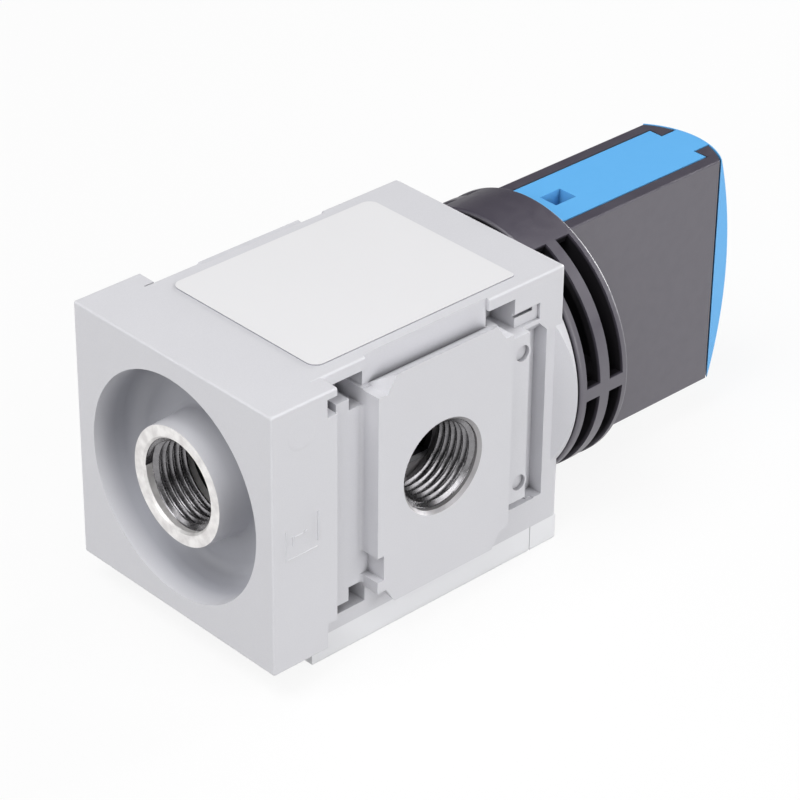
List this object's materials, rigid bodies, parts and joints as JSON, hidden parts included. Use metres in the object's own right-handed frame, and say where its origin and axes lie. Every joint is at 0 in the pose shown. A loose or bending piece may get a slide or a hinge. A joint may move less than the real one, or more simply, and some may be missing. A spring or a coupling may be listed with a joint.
{
  "type": "rotary manual valve",
  "caption": "Modular manual on-off valve with side ports, a recessed exhaust port, a slotted turning knob and a lockable slide in its grip.",
  "frame": {"origin": "On the resting face of the back cover, below the crossing of the spindle axis and the axis of the two side ports.", "axes": "+X runs along the spindle towards the knob, +Y through the side ports towards the outlet, +Z to the label side."},
  "size_m": [0.1585, 0.063, 0.0699],
  "materials": {
    "casting": "satin light grey paint on die-cast aluminium",
    "label": "plain pale film plate",
    "cover": "fine satin moulding",
    "dark_plastic": "fine grained black moulding",
    "blue_plastic": "smooth light blue moulding",
    "steel": "turned and hardened",
    "rubber": "black nitrile"
  },
  "bodies": {
    "valve_body": {"valve_body": "casting", "label_plate": "label", "back_cover": "cover", "back_end_cover": "cover", "bonnet": "dark_plastic", "bonnet_screws": "steel", "bonnet_o_ring": "rubber", "stem_o_ring": "rubber", "thrust_washer": "dark_plastic", "cam_retaining_ring": "steel", "return_spring": "steel"},
    "knob": {"knob": "dark_plastic", "knob_screw": "steel", "cam_sleeve": "steel"},
    "spindle": {"spindle": "steel", "drive_pin": "steel", "main_poppet": "dark_plastic", "main_seal": "rubber", "poppet_ring": "steel", "exhaust_poppet": "dark_plastic", "exhaust_seal": "rubber", "poppet_washer": "steel", "poppet_screw": "steel"},
    "lock_slide": {"lock_slide": "blue_plastic"}
  },
  "joints": [
    {"name": "knob_turn", "type": "hinge", "parent": "valve_body", "child": "knob", "pos_m": [0, 0, 0.0384], "axis": [1, 0, 0], "range_deg": [0, 90]},
    {"name": "spindle_lift", "type": "slide", "parent": "valve_body", "child": "spindle", "axis": [1, 0, 0], "range_m": [0, 0.0045], "deforming": ["return_spring"]},
    {"name": "slide_lift", "type": "slide", "parent": "knob", "child": "lock_slide", "axis": [0, 0, 1], "range_m": [0, 0.014]}
  ],
  "couplings": [
    {"joint": "spindle_lift", "follows": "knob_turn", "m_per_rad": 0.0028647}
  ]
}
